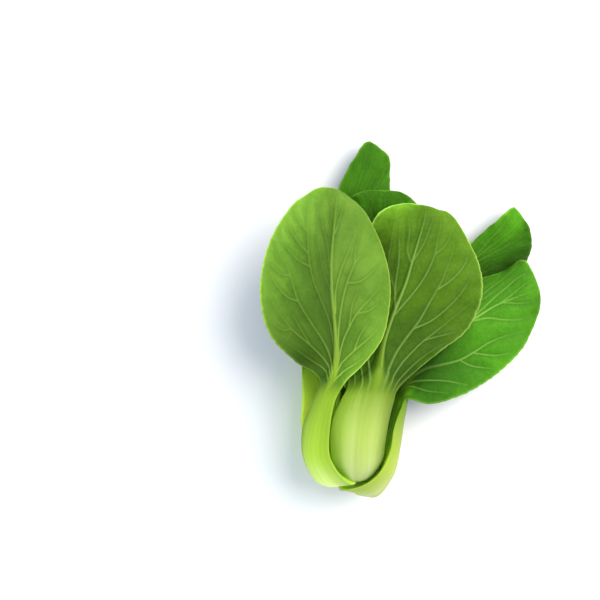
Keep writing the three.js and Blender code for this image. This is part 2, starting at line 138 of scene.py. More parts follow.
BACK_LEFT = [
    base_station(-13, 9, 300, 238, 184, 4),
    base_station(-20.5, 12.5, 300, 238, 186, 5),
    station(around(236, 19, -18), around(294, 16.5, -17), around(183, 15.5, -16.5), 6),
    station(around(237, 24.6, -9.5), around(292, 21.5, -8), around(180, 20.5, -8), 6.5),
    station([-15, 0, 1.5], around(290, 24.5, 0), around(180, 23.3, 0), 6.5),
    station([-17, 13, 2], [4, 13, 1.5], [-28.8, 13, 24], 6.5),
    station([-21, 26, 6], [-7, 26, 3], [-28.3, 27, 24], 6),
    station([-23, 38, 10], [-15, 38, 7], [-28.5, 39, 20], 5),
    station([-22.5, 48, 11.5], [-14, 50, 8], [-29, 49, 17], 4.4, 6),
    station([-20.5, 59, 11], [-4, 64, 5], [-31, 62, 15], 3.6, 3.4),
    station([-17.5, 72, 9.5], [4, 80, 2.5], [-31.5, 78, 15], 3, 2.8),
    station([-13.5, 88, 8], [10.5, 96, 1], [-28, 96, 15], 2.6, 2.3),
    station([-8, 105, 7], [15, 112, 0.4], [-21, 115, 15], 2.2, 1.9),
    station([-2, 122, 6.5], [18.3, 127, 1], [-12, 135, 15], 1.9, 1.6),
    station([4.5, 139, 6.5], [20, 145, 3], [-3, 153, 14], 1.7, 1.3),
    station([11, 154.5, 7], [19.5, 158, 5], [4, 165.5, 12], 1.5, 1.1),
    station([12.8, 165.3, 8.2], [15.5, 163.8, 7], [9.8, 168.3, 9.5], 1.4, 0.9),
]
BACK_RIGHT = [
    base_station(-10, 9, 20, 318, 262, 4),
    base_station(-14, 12.5, 12, 318, 270, 5),
    station(around(316, 17, -9), around(2, 15, -8), around(275, 15, -8), 6),
    station(around(314, 20, -1), around(345, 17, -1), around(280, 18, -1), 5.5),
    station(around(313, 21.5, 8), around(344, 17.5, 8), around(285, 20, 8), 6),
    station([13.5, 18, 8], [17.5, 17, 16], [6.5, 18, 7], 5.5),
    station([16.5, 29, 7.5], [20.5, 27, 12], [11, 30, 7], 5),
    station([20.5, 40, 6.5], [25, 37, 7], [16, 43, 6], 4.4, 5),
    station([27, 51, 6], [38, 46, 4.5], [19.5, 61, 6], 3.6, 3.2),
    station([36, 64, 6], [50, 59, 2.8], [27, 78, 6], 3, 2.6),
    station([46, 79, 5.5], [65, 70, 1.5], [37, 92, 6.5], 2.6, 2.2),
    station([56.5, 92.5, 5.5], [79, 82, 0.6], [49, 102.5, 7.5], 2.2, 1.8),
    station([67, 104, 6], [90.5, 96, 1.2], [62, 111, 8.5], 1.9, 1.5),
    station([78.5, 113.5, 7], [97.5, 109, 3], [73.5, 120.5, 10], 1.7, 1.3),
    station([87, 120.5, 8.5], [96.5, 119, 6], [83, 129.5, 10.5], 1.5, 1.1),
    station([91.5, 127.5, 9], [94, 124.5, 8.5], [88.5, 132.5, 10], 1.4, 0.9),
]
FRONT = [
    base_station(-8, 8.5, 130, 80, 32, 4),
    station([1.5, -16.2, 38.5], [-6, -13.5, 35], [9, -13, 34], 6),
    station([3.3, -10, 46], [-12, -6.5, 39], [14.5, -5.5, 37], 7.5),
    station([4.2, 2, 49.5], [-13.5, 4, 41], [16, 4, 39], 7.5),
    station([6.5, 16, 48.5], [-12.5, 16, 42], [18, 16, 39.5], 7),
    station([9, 28, 46.5], [-8, 27, 42], [20.5, 26, 39.5], 6),
    station([11, 36, 45], [-4.5, 34, 42], [23, 33, 38], 5, 12),
    station([13, 45, 43.5], [-3, 43, 40], [32, 42, 35], 4, 6),
    station([15.5, 59, 41.5], [-1, 56, 36], [47, 54, 31], 3.4, 3.6, 0, -1),
    station([21, 75, 40.5], [2, 71, 33], [61, 65, 28], 3, 2.8, 0, -1),
    station([27, 90, 41], [5, 86, 32], [68.5, 82, 28], 2.6, 2.3, 0, -1),
    station([31, 104, 42], [6.5, 102, 34], [67.5, 99, 30], 2.2, 1.9, 0, -1),
    station([35, 117, 42], [7, 116, 37], [60, 115, 33], 1.9, 1.6),
    station([37.2, 125.5, 41], [12, 127, 39], [51.5, 127, 36], 1.7, 1.3),
    station([37.5, 130, 39.5], [22, 132.4, 39.5], [43.5, 130, 38], 1.5, 1.1),
    station([36, 132, 38.5], [32, 133, 38.8], [39, 131.4, 38], 1.4, 0.9),
]
BACK = [
    base_station(-7.5, 7, 300, 260, 210, 3.5),
    base_station(-9.5, 9.5, 298, 260, 212, 4),
    station([-4.5, -4, 12.5], [2.5, -3, 15], [-13, -3, 16.5], 5),
    station([-4, 7, 11.5], [3, 7, 14.5], [-13, 7, 16.5], 5),
    station([-2.5, 19, 11], [4.5, 19, 14], [-11, 19, 15], 5),
    station([-0.5, 31, 12], [6, 31, 14], [-7.5, 31, 14.5], 4.6),
    station([2.5, 43, 13.5], [9.5, 44, 14.5], [-5.5, 44, 15.5], 4.2, 6),
    station([5, 56, 16], [18, 60, 14.5], [-9, 62, 17], 3.4, 3.2),
    station([8, 72, 18.5], [27, 79, 15], [-11.5, 80, 18], 3, 2.6),
    station([11, 90, 20.5], [34, 96, 16], [-11, 98, 19], 2.6, 2.2),
    station([13.5, 107, 22], [38, 112, 18], [-10, 115, 20], 2.2, 1.8),
    station([15.5, 122, 23.5], [38, 126, 20.5], [-6.5, 130, 22], 1.9, 1.5),
    station([16.5, 133, 24.5], [31, 136, 22.5], [-0.5, 138, 24], 1.7, 1.2),
    station([16.8, 140.5, 25], [22.5, 140.8, 24.5], [10, 141.2, 25], 1.5, 0.9),
]


def heart_stations(azimuth, out, reach, half_width):
    """A young leaf of the heart, by its direction, distance, length and cupped half-width."""
    axis_x = -1
    axis_z = 29
    turn = math.radians(azimuth)
    outward = np.array([math.cos(turn), 0, math.sin(turn)])
    rightward = np.array([math.sin(turn), 0, -math.cos(turn)])

    def row(y, distance, half, tuck, thick, rib=0):
        axis = np.array([axis_x, y, axis_z])
        edge = axis + outward * (distance - tuck)
        mid = axis + outward * distance
        return station(mid, edge - rightward * half, edge + rightward * half, thick, rib)

    return [
        row(-6, 0.4 * out, 2.5, 0.5, 3),
        row(4, out, 5, 2, 3.4),
        row(16, out, 5, 2, 3),
        row(0.45 * reach, 0.9 * out, 3.5, 1, 2.6),
        row(0.55 * reach, 0.85 * out, 5, 1, 2.2, 2.2),
        row(0.68 * reach, 0.85 * out, 0.85 * half_width, 2, 1.9, 1.6),
        row(0.82 * reach, 0.8 * out, half_width, 2.5, 1.7, 1.3),
        row(0.94 * reach, 0.6 * out, 0.7 * half_width, 1.5, 1.5, 1),
        row(reach, 0.4 * out, 0.2 * half_width, 0.2, 1.4, 0.8),
    ]


# Veins, each a list of places (along the leaf, across it) and the widths of its two ends

def vein(first_width, last_width, *places):
    return {"widths": (first_width, last_width), "places": np.array(places, float)}


def midline_vein(width, blade_start, last):
    """The thin end of the midrib, where it has sunk into the blade."""
    return vein(width, 0.7, (blade_start + 1, 0), ((blade_start + last) / 2, 0), (last - 0.3, 0))


def regular_veins(blade_start, last, pairs):
    """Laterals that leave the midrib in pairs and curve out and up to the margin."""
    found = [midline_vein(1.8, blade_start, last)]
    room = last - blade_start - 1.2
    for side in (-1, 1):
        for index in range(pairs):
            start = blade_start + 0.2 + room * (index + 0.25 * (side > 0)) / pairs * 0.8
            reach = min(start + 2.6 + 0.1 * index, last - 0.25)
            climb = reach - start
            main = vein(
                1.7 - 0.5 * index / pairs,
                0.5,
                (start, 0.0),
                (start + 0.3 * climb, 0.17 * side),
                (start + 0.65 * climb, 0.47 * side),
                (reach, VEIN_SPREAD * side),
            )
            found.append(main)
            found += forks(main, side, last)
    return found


def forks(main, side, last):
    """Smaller veins that leave a lateral on both sides of it by turns."""
    found = []
    for index, share in enumerate((0.35, 0.55, 0.75)):
        at = spline(main["places"], np.array([share * (len(main["places"]) - 1)]))[0]
        upward = index % 2 == 1
        climb = 1.0 if upward else 0.35
        aside = 0.08 if upward else 0.2
        end_along = min(at[0] + climb, last - 0.15)
        end_across = side * min(abs(at[1]) + aside, 0.93)
        middle = (at[0] + 0.45 * climb, at[1] + side * aside * (0.35 if upward else 0.65))
        found.append(vein(0.65, 0.4, tuple(at), middle, (end_along, end_across)))
    return found


FRONT_LEFT_VEINS = [
    midline_vein(1.2, 7, 16),
    vein(1.3, 0.5, (8.5, -0.02), (9.4, -0.05), (10.15, -0.09), (10.8, -0.18), (11.5, -0.28),
         (12.3, -0.36), (13.0, -0.44), (13.8, -0.6), (14.4, -0.78)),
    vein(0.8, 0.4, (11.85, -0.32), (12.1, -0.49), (12.6, -0.7), (13.1, -0.9)),
    vein(0.8, 0.4, (12.35, -0.37), (12.7, -0.52), (13.2, -0.74), (13.5, -0.88)),
    vein(0.7, 0.4, (13.2, -0.48), (13.5, -0.68), (13.8, -0.84)),
    vein(1.4, 0.5, (7.9, -0.08), (8.9, -0.2), (9.5, -0.29), (10.1, -0.4), (10.7, -0.5),
         (11.4, -0.57), (12.0, -0.67), (12.8, -0.91)),
    vein(0.8, 0.4, (10.72, -0.5), (10.9, -0.64), (11.25, -0.75), (11.8, -0.89)),
    vein(0.6, 0.4, (11.6, -0.6), (11.7, -0.72), (12.1, -0.9)),
    vein(1.3, 0.5, (7.7, -0.14), (8.6, -0.37), (9.3, -0.55), (9.8, -0.67), (10.2, -0.74),
         (10.9, -0.85)),
    vein(0.7, 0.4, (9.95, -0.7), (10.0, -0.82), (10.3, -0.92)),
    vein(0.7, 0.4, (9.3, -0.55), (9.95, -0.58), (10.4, -0.63)),
    vein(1.1, 0.5, (7.5, -0.25), (8.1, -0.5), (8.6, -0.68), (9.1, -0.78), (9.7, -0.9)),
    vein(0.8, 0.4, (11.8, -0.02), (12.6, -0.08), (13.4, -0.24), (14.2, -0.42)),
    vein(0.7, 0.4, (11.1, -0.02), (11.7, -0.12), (12.3, -0.18), (12.9, -0.27)),
    vein(0.7, 0.4, (13.0, 0.02), (13.7, 0.12), (14.5, 0.3)),
    vein(1.0, 0.5, (10.4, 0.02), (11.1, 0.06), (11.8, 0.16), (12.5, 0.3), (13.4, 0.5)),
    vein(1.4, 0.5, (8.6, 0.03), (9.6, 0.04), (10.3, 0.09), (10.9, 0.17), (11.4, 0.25),
         (12.1, 0.41), (12.4, 0.58), (12.9, 0.75)),
    vein(0.8, 0.4, (11.3, 0.23), (11.4, 0.45), (11.8, 0.68), (12.2, 0.85)),
    vein(0.6, 0.4, (11.9, 0.36), (12.6, 0.42), (13.3, 0.6)),
    vein(1.4, 0.5, (8.1, 0.05), (9.1, 0.1), (9.8, 0.21), (10.4, 0.38), (10.9, 0.62),
         (11.4, 0.83)),
    vein(0.7, 0.4, (10.42, 0.4), (10.55, 0.6), (10.8, 0.78)),
    vein(0.7, 0.4, (9.9, 0.24), (10.6, 0.3), (11.1, 0.42)),
    vein(1.3, 0.5, (7.8, 0.08), (8.5, 0.21), (9.2, 0.48), (9.8, 0.71), (10.3, 0.86)),
    vein(0.7, 0.4, (9.2, 0.48), (9.8, 0.5), (10.3, 0.64)),
    vein(1.0, 0.5, (7.4, 0.15), (8.1, 0.45), (8.7, 0.7), (9.2, 0.86)),
]
FRONT_VEINS = [
    midline_vein(1.6, 6, 15),
    vein(2.2, 0.5, (4.4, -0.3), (5.4, -0.27), (6.3, -0.26), (7.5, -0.4), (8.6, -0.52),
         (9.8, -0.62), (11.2, -0.8)),
    vein(1.6, 0.5, (4.6, -0.58), (5.4, -0.55), (6.2, -0.5), (7.2, -0.62), (8.4, -0.78),
         (9.4, -0.9)),
    vein(1.2, 0.5, (4.8, -0.84), (5.5, -0.82), (6.2, -0.76), (7.2, -0.86), (8.0, -0.93)),
    vein(1.1, 0.5, (9.1, -0.01), (9.9, -0.17), (10.9, -0.25), (11.7, -0.37), (12.6, -0.5)),
    vein(0.9, 0.4, (10.8, -0.02), (11.3, -0.15), (12.1, -0.24), (12.9, -0.38)),
    vein(0.8, 0.4, (9.6, -0.1), (10.2, -0.3), (10.9, -0.46), (11.7, -0.52), (12.6, -0.6)),
    vein(1.1, 0.5, (8.9, 0.03), (9.6, 0.16), (10.3, 0.26), (11.1, 0.34), (11.9, 0.37),
         (12.9, 0.48)),
    vein(0.7, 0.4, (11.2, 0.36), (11.6, 0.52), (12.2, 0.66)),
    vein(0.8, 0.4, (10.9, 0.02), (11.6, 0.12), (12.4, 0.18), (13.2, 0.3)),
    vein(2.4, 0.5, (4.4, 0.26), (5.6, 0.26), (6.6, 0.26), (7.4, 0.3), (8.1, 0.38),
         (8.8, 0.43), (9.5, 0.45), (10.2, 0.5), (11.0, 0.58), (12.2, 0.74)),
    vein(0.9, 0.4, (9.95, 0.49), (10.4, 0.64), (11.0, 0.8), (11.5, 0.9)),
    vein(1.0, 0.4, (8.55, 0.43), (8.9, 0.57), (9.5, 0.69), (10.2, 0.8), (10.8, 0.9)),
    vein(2.0, 0.5, (4.5, 0.52), (5.5, 0.52), (6.3, 0.51), (7.1, 0.53), (7.7, 0.61),
         (8.5, 0.7), (9.1, 0.77), (9.7, 0.88)),
    vein(0.8, 0.4, (8.2, 0.66), (8.5, 0.8), (8.8, 0.92)),
    vein(1.6, 0.5, (4.7, 0.76), (5.5, 0.77), (6.2, 0.76), (7.0, 0.79), (7.7, 0.86),
         (8.3, 0.94)),
    vein(1.6, 0.5, (4.9, 0.93), (5.6, 0.93), (6.4, 0.92), (7.0, 0.95)),
]
RIGHT_VEINS = [
    midline_vein(1.8, 7, 15),
    vein(1.3, 0.5, (10.9, -0.02), (11.5, -0.15), (12.0, -0.36), (12.6, -0.58), (13.4, -0.86)),
    vein(0.8, 0.4, (12.3, 0.0), (12.9, -0.16), (13.5, -0.36), (14.0, -0.6)),
    vein(2.0, 0.5, (7.6, -0.04), (8.3, -0.19), (8.9, -0.37), (9.6, -0.5), (10.3, -0.53),
         (11.1, -0.55), (11.9, -0.69), (12.6, -0.9)),
    vein(0.9, 0.4, (9.6, -0.5), (9.9, -0.7), (10.6, -0.93)),
    vein(0.8, 0.4, (10.2, -0.53), (10.9, -0.76), (11.4, -0.9)),
    vein(1.7, 0.5, (7.3, -0.1), (7.8, -0.3), (8.4, -0.53), (9.0, -0.75), (9.4, -0.9)),
    vein(1.4, 0.5, (6.9, -0.14), (7.4, -0.38), (7.9, -0.64), (8.7, -0.89)),
    vein(1.4, 0.5, (8.0, 0.02), (8.9, 0.16), (9.9, 0.4), (10.9, 0.68), (11.6, 0.88)),
    vein(1.3, 0.5, (9.4, 0.02), (10.4, 0.16), (11.3, 0.4), (12.3, 0.68), (12.9, 0.86)),
    vein(1.2, 0.5, (10.8, 0.02), (11.7, 0.15), (12.6, 0.38), (13.4, 0.66), (13.9, 0.84)),
    vein(0.9, 0.4, (12.2, 0.0), (13.0, 0.16), (13.7, 0.4), (14.3, 0.7)),
    vein(1.3, 0.5, (7.0, 0.1), (7.8, 0.3), (8.6, 0.55), (9.4, 0.82)),
    vein(0.7, 0.4, (9.6, 0.32), (10.4, 0.38), (11.2, 0.5)),
    vein(0.7, 0.4, (10.9, 0.28), (11.7, 0.34), (12.4, 0.5)),
]


# Curves and surfaces

def spline(points, along):
    """A smooth curve through the points, its ends carried straight on, one unit a point."""
    points = np.asarray(points, float)
    if points.ndim == 1:
        return spline(points[:, None], along)[:, 0]
    rows = np.vstack([2 * points[0] - points[1], points, 2 * points[-1] - points[-2]])
    along = np.clip(along, 0, len(points) - 1)
    low = np.minimum(along.astype(int), len(points) - 2)
    t = (along - low)[:, None]
    a, b, c, d = (rows[low + step] for step in range(4))
    return b + 0.5 * t * (c - a + t * (2 * a - 5 * b + 4 * c - d + t * (3 * (b - c) + d - a)))


def smoothstep(low, high, value):
    share = np.clip((value - low) / (high - low), 0, 1)
    return share * share * (3 - 2 * share)


def unit(vectors):
    return vectors / np.maximum(np.linalg.norm(vectors, axis=-1, keepdims=True), 1e-9)


class Leaf:
    """The smooth middle surface of a leaf, over places along it and across it."""

    def __init__(self, stations, waves, seed):
        self.stations = stations
        self.last = len(stations) - 1
        self.blade_start = next(i for i, row in enumerate(stations) if row["rib"] > 0)
        self.wave_count, self.wave_height = waves
        self.seed = seed

    def value(self, key, along):
        return spline([row[key] for row in self.stations], along)

    def relief(self, along, across):
        """Fold between the midrib and the margin, and waves that grow to the margin."""
        side = np.abs(across)
        fold = np.where(
            across < 0,
            self.value("fold_left", along)[:, None],
            self.value("fold_right", along)[:, None],
        )
        start = self.blade_start
        fade = np.clip((along - start) / 2, 0, 1) * np.clip((self.last - along) / 1.5, 0, 1)
        share = (along - start) / (self.last - start)
        phase = np.where(across < 0, 0.6, 2.1)
        turn = 2 * math.pi * self.wave_count * share[:, None]
        wave = self.wave_height * side**3 * np.sin(turn + phase)
        ripple = 0.35 * side**4 * np.sin(3.3 * turn + 2 * phase + self.seed)
        return 4 * fold * side * (1 - side) + fade[:, None] * (wave + ripple)

    def surface(self, along, across):
        """Points for a row of places along and, for each, a row of places across."""
        mid = self.value("mid", along)
        left = self.value("left", along)
        right = self.value("right", along)
        half_chord = (right - left) / 2
        sag = (right + left) / 2 - mid
        onward = self.value("mid", along + 0.02) - self.value("mid", along - 0.02)
        out = unit(np.cross(half_chord, onward))
        s = across[..., None]
        found = mid[:, None] + half_chord[:, None] * s + sag[:, None] * s * s
        return found + out[:, None] * self.relief(along, across)[..., None]

    def half_width(self, along, across):
        mid = self.value("mid", along)
        left = np.linalg.norm(self.value("left", along) - mid, axis=1)[:, None]
        right = np.linalg.norm(self.value("right", along) - mid, axis=1)[:, None]
        return np.where(across < 0, left, right)

    def even_rows(self, count):
        """Places along the leaf, evenly spaced on its midline but wider apart on the stalk."""
        fine = np.linspace(0, self.last, 2001)
        steps = np.linalg.norm(np.diff(self.value("mid", fine), axis=0), axis=1)
        length = np.concatenate([[0], np.cumsum(steps)])
        density = 0.5 + 0.5 * smoothstep(self.blade_start - 2, self.blade_start, fine[1:])
        order = np.concatenate([[0], np.cumsum(steps * density)])
        rows = np.interp(np.linspace(0, order[-1], count), order, fine)
        return rows, np.interp(rows, fine, length)


class LeafGrid:
    """Rows of points over a leaf, with how far each lies along it, across it and from its edge."""

    def __init__(self, leaf, rows, columns):
        self.leaf = leaf
        self.rows = rows
        self.columns = columns
        self.along, self.length = leaf.even_rows(rows)
        spread = np.sin(np.linspace(-0.5, 0.5, columns) * math.pi * COLUMN_CROWDING)
        share = spread / math.sin(COLUMN_CROWDING / 2 * math.pi)
        narrowing = self.narrowing()
        self.across = share[None] * narrowing[:, None]
        self.middle = leaf.surface(self.along, self.across)
        self.half_width = leaf.half_width(self.along, self.across)
        self.from_mid = np.abs(self.across) * self.half_width
        self.edge = (1 - np.abs(share))[None] * self.half_width * narrowing[:, None]
        start = leaf.blade_start
        self.past_stalk = smoothstep(start - 1, start + 1, self.along)[:, None]
        self.on_blade = smoothstep(start - 0.6, start + 0.8, self.along)[:, None]
        self.on_stalk = 1 - smoothstep(start - 0.9, start + 0.7, self.along)[:, None]

    def narrowing(self):
        """How much narrower each row is than its stations say: a round tip and a nicked margin."""
        leaf = self.leaf
        tip_share = np.clip((self.along - (leaf.last - TIP_LENGTH)) / TIP_LENGTH, 0, 1) * TIP_CLOSING
        nicks = np.sin(19 * self.along + leaf.seed) + 0.7 * np.sin(33 * self.along + 2 * leaf.seed)
        start = leaf.blade_start
        nicked = smoothstep(start + 0.5, start + 2, self.along)
        return np.sqrt(1 - tip_share**2.4) * (1 + MARGIN_NICKS * nicks * nicked)

    def whole_rows(self, values):
        return np.repeat(values[:, None], self.columns, axis=1)


# Lightness of the skin, partly the leaf's own tone and partly painted light and shade, in rows of
# (left, middle, right) from the foot of a leaf to its tip

TONE_HEIGHTS = (0.15, 0.95, 1.2, 1.5, 1.9)
EVEN_TONES = ((1, 1, 1),) * 5
FRONT_LEFT_TONES_WITH_SHADE = (
    (0.82, 1.5, 1.15), (0.9, 1.12, 0.9), (0.4, 0.76, 1.3), (1.4, 0.88, 1.05), (2.0, 1.05, 0.95),
)
RIGHT_TONES_WITH_SHADE = (
    (0.87, 0.88, 0.9), (0.65, 0.4, 0.25), (0.85, 0.25, 0.1), (1.35, 1.18, 0.7), (0.75, 1.1, 1.1),
)
BACK_LEFT_TONES_WITH_SHADE = (
    (1.65, 1.65, 1.75), (1.65, 1.65, 1.75), (0.6, 0.6, 0.6), (0.72, 0.72, 0.72), (0.9, 0.85, 0.8),
)
BACK_RIGHT_TONES_WITH_SHADE = (
    (1, 1, 1), (1, 1, 1), (0.05, 0.35, 0.6), (0.1, 0.5, 0.9), (0.65, 1.35, 1.3),
)
FRONT_TONES_WITH_SHADE = (
    (1.1, 0.79, 0.6), (1.1, 0.73, 0.45), (0.6, 0.7, 0.7), (0.45, 0.97, 1.1), (2.6, 1.1, 1.5),
)
BACK_TONES_WITH_SHADE = (
    (1, 1, 1), (1, 1, 1), (0.6, 0.6, 0.6), (0.65, 0.65, 0.65), (0.75, 0.75, 0.75),
)


def tone_and_shade_over(tones_with_painted_shade, height, across):
    """The lightness at each point, own tone and painted light and shade, from a leaf's rows of tones.
    """
    left, middle, right = (np.interp(height, TONE_HEIGHTS, row)[:, None] for row in zip(*tones_with_painted_shade))
    side = np.where(across < 0, left, right)
    return middle + (side - middle) * smoothstep(0, 1, np.abs(across))


# The skin of a leaf

def sample_veins(leaf, veins):
    """Points along every vein, with its width and its fading at each of them."""
    samples = []
    widths = []
    fades = []
    share = np.linspace(0, 1, VEIN_SAMPLES)
    taper = (1 - share) ** 1.5
    for one in veins:
        places = one["places"]
        at = spline(places, np.linspace(0, len(places) - 1, VEIN_SAMPLES))
        first_width, last_width = one["widths"]
        samples.append(leaf.surface(at[:, 0], at[:, 1:2])[:, 0])
        widths.append(first_width * taper + last_width * (1 - taper))
        fades.append(1 - 0.65 * smoothstep(0.6, 1, share))
    return np.concatenate(samples), np.concatenate(widths), np.concatenate(fades)


def vein_field(grid, veins):
    """The nearest vein's distance, width and fading at each point, and its strength from 0 to 1."""
    samples, widths, fades = sample_veins(grid.leaf, veins)
    tree = kdtree.KDTree(len(samples))
    for index, place in enumerate(samples):
        tree.insert(place, index)
    tree.balance()
    shape = grid.middle.shape[:2]
    nearest = [tree.find(point) for point in grid.middle.reshape(-1, 3)]
    index = np.array([found[1] for found in nearest]).reshape(shape)
    nearness = np.array([found[2] for found in nearest]).reshape(shape)
    width = widths[index]
    fade = fades[index]
    reach = np.maximum(0.45 * width, 0.4)
    strength = np.exp(-((nearness / reach) ** 2)) * np.clip(width / 0.9, 0.4, 1) * fade
    return {"nearness": nearness, "width": width, "fade": fade, "strength": strength}


def stalk_swell(grid, midrib):
    """How far the stalk and midrib stand out, the midrib's half-width, and that of the thick part."""
    leaf = grid.leaf
    start = leaf.blade_start
    slimming = 1 - (1 - midrib) * smoothstep(start, start + 2.5, grid.along)
    slimming *= 1 - 0.8 * smoothstep(leaf.last - 4, leaf.last - 0.5, grid.along)
    rib = slimming * leaf.value("rib", np.maximum(grid.along, start))
    rib = np.minimum(rib[:, None], grid.half_width)
    narrowed = np.clip(grid.along - start + 1, 0, 1)[:, None]
    core = grid.half_width * (1 - narrowed) + np.maximum(rib, 0.3) * narrowed
    thick_share = np.clip(grid.from_mid / core, 0, 1)
    bulk = np.maximum(leaf.value("thick", grid.along) - BLADE_THICKNESS, LEAST_SWELL)[:, None]
    swell = bulk * slimming[:, None] * (1 - thick_share**2) ** RIB_ROUNDNESS
    return swell, rib, core


def stalk_ridges(grid):
    """Faint long ridges on the stalk's outer face."""
    seed = grid.leaf.seed
    drift = 0.5 * np.sin(3.1 * grid.across + 0.8 * grid.along[:, None] + seed)
    phase = 2 * math.pi * STALK_RIDGES * grid.across + seed + 2 * drift
    ridges = RIDGE_HEIGHT * (1 - grid.past_stalk) * np.cos(phase) * smoothstep(0, 3, grid.edge)
    return ridges * smoothstep(0.5, 3, grid.along)[:, None]


def leaf_faces(grid, swell, rib, veined, quilt):
    """The outer and the inner face, with puckers between the veins, never below the floor."""
    aside = np.gradient(grid.middle, axis=1)
    onward = np.gradient(grid.middle, axis=0)
    normal = unit(np.cross(aside, onward))
    pucker = quilt * grid.on_blade * (1 - np.exp(-((veined["nearness"] / PUCKER_REACH) ** 2)))
    pucker *= smoothstep(0.0, 5.0, grid.from_mid - rib) * smoothstep(0, 6, grid.edge)
    middle = grid.middle - normal * pucker[..., None]

    width = np.minimum(veined["width"], WIDEST_RAISED_VEIN)
    vein_bulk = VEIN_HEIGHT * veined["strength"] * width * (0.2 + 0.8 * grid.on_blade)
    vein_bulk *= smoothstep(0, 2.5, grid.edge)
    half = BLADE_THICKNESS / 2
    outer = half + RIB_OUTER_SHARE * grid.past_stalk * swell + vein_bulk + stalk_ridges(grid)
    inner = half + (1 - grid.past_stalk) * swell - VEIN_INNER_SHARE * vein_bulk * grid.on_blade
    round_edge = np.sqrt(1 - (1 - np.clip(grid.edge / (2.2 * half), 0, 1)) ** 2)
    outer_face = middle + normal * (outer * round_edge)[..., None]
    inner_face = middle - normal * (inner * round_edge)[..., None]
    for face in (outer_face, inner_face):
        face[..., 2] = np.maximum(face[..., 2], 0)
    return outer_face, inner_face


def to_ring(outer, inner=None):
    """Values of the outer face and back over the inner one, as one row of numbers a ring."""
    inner = outer if inner is None else inner
    return np.concatenate([outer, inner[:, -2:0:-1]], axis=1)


def skin_attributes(grid, core, veined, tones_with_painted_shade, inner_light):
    """What the material reads at each point: place on the leaf, veins and the painted shade beside
    them, margin, face, and tone with painted light and shade.
    """
    leaf = grid.leaf
    start = leaf.blade_start
    on_blade_share = (grid.along - start) / (leaf.last - start)
    height = np.where(grid.along < start, grid.along / start, 1 + on_blade_share)
    tone_with_painted_shade = tone_and_shade_over(tones_with_painted_shade, height, grid.across)
    height = grid.whole_rows(height)
    stalk = grid.on_stalk
    # Painted light: inner_light makes the stalk's inner face lighter, away from its foot and margins.
    lit_inside = stalk * smoothstep(0, 5, grid.edge) * smoothstep(0.2, 0.45, height)
    rib_share = smoothstep(0.45, 1.0, 1 - grid.from_mid / (core + 0.2))
    pale_rib = rib_share * (1 - smoothstep(1.15, 1.85, height))
    # Painted shade: a darker band on each side of a vein, as if cast by its raised ridge.
    painted_shade_beside_vein = np.exp(-((veined["nearness"] / VEIN_SHADE_WIDTH) ** 2))
    to_tip = (grid.length[-1] - grid.length)[:, None]
    lip = np.exp(-((np.minimum(grid.edge, to_tip) / LIP_WIDTH) ** 2))
    outer_side = np.zeros((grid.rows, grid.columns))
    return {
        "height": to_ring(height),
        "stalk": to_ring(np.maximum(stalk, pale_rib)),
        "petiole": to_ring(np.repeat(stalk, grid.columns, axis=1)),
        "vein": to_ring(veined["strength"]),
        "painted_shade_beside_vein": to_ring(painted_shade_beside_vein * grid.on_blade * veined["fade"]),
        "margin": to_ring(lip * grid.on_blade),
        "inner": to_ring(outer_side, outer_side + 1),
        "tone_with_painted_shade": to_ring(tone_with_painted_shade, tone_with_painted_shade * (1 + (inner_light - 1) * lit_inside)),
        # The stalk's flanks: partly their own greener colour, partly painted shade where neighbouring
        # leaves overlap them.
        "flank_and_shade": to_ring(smoothstep(0.45, 1.0, np.abs(grid.across)) * stalk),
    }


def leaf_piece(name, grid, veins, material, slot, tones_with_painted_shade, quilt=0.7, midrib=0.7, inner_light=1.0):
    """One grown leaf: stalk, midrib and blade as a single closed skin."""
    veined = vein_field(grid, veins)
    swell, rib, core = stalk_swell(grid, midrib)
    ring = to_ring(*leaf_faces(grid, swell, rib, veined, quilt))
    verts = (ring.reshape(-1, 3) - REST_SPOT) * MM
    faces = ring_faces(grid.rows, grid.columns, ring.shape[1])
    attributes = skin_attributes(grid, core, veined, tones_with_painted_shade, inner_light)
    attributes = {key: values.reshape(-1) for key, values in attributes.items()}

    aside = to_ring(np.sign(grid.across) * grid.from_mid).reshape(-1) / 100 + 0.5
    onward = to_ring(grid.whole_rows(grid.length)).reshape(-1) / 100
    piece = mesh_piece(name, verts, faces, attributes, np.stack([aside, onward], axis=1))
    grain = to_ring(grid.across).reshape(-1) * 0.5 + 0.5
    add_uv(piece, "grain", np.stack([grain, onward], axis=1))
    piece.data.materials.append(material)
    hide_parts(name + "_stalk", name + "_blade")
    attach(piece, "root")


def ring_faces(rows, columns, ring_size):
    """Quads round a tube of rings, closed at both ends between its two faces."""
    row = np.arange(rows - 1)[:, None] * ring_size
    here = np.arange(ring_size)[None]
    after = (here + 1) % ring_size
    quads = np.stack(
        [row + here, row + after, row + ring_size + after, row + ring_size + here], axis=-1
    ).reshape(-1, 4)
    caps = []
    top = (rows - 1) * ring_size
    for column in range(columns - 1):
        under = (ring_size - column) % ring_size
        under_next = columns - 1 if column == columns - 2 else ring_size - column - 1
        corners = list(dict.fromkeys([column, column + 1, under_next, under]))
        caps.append(corners[::-1])
        caps.append([top + index for index in corners])
    return quads.tolist() + caps


def mesh_piece(name, verts, faces, attributes, uv):
    mesh = bpy.data.meshes.new(name)
    mesh.from_pydata([tuple(vert) for vert in verts], [], faces)
    mesh.update()
    mesh.shade_smooth()
    for key, values in attributes.items():
        layer = mesh.attributes.new(key, "FLOAT", "POINT")
        layer.data.foreach_set("value", np.asarray(values, np.float32))
    piece = bpy.data.objects.new(name, mesh)
    bpy.context.scene.collection.objects.link(piece)
    add_uv(piece, "leaf", uv)
    return piece


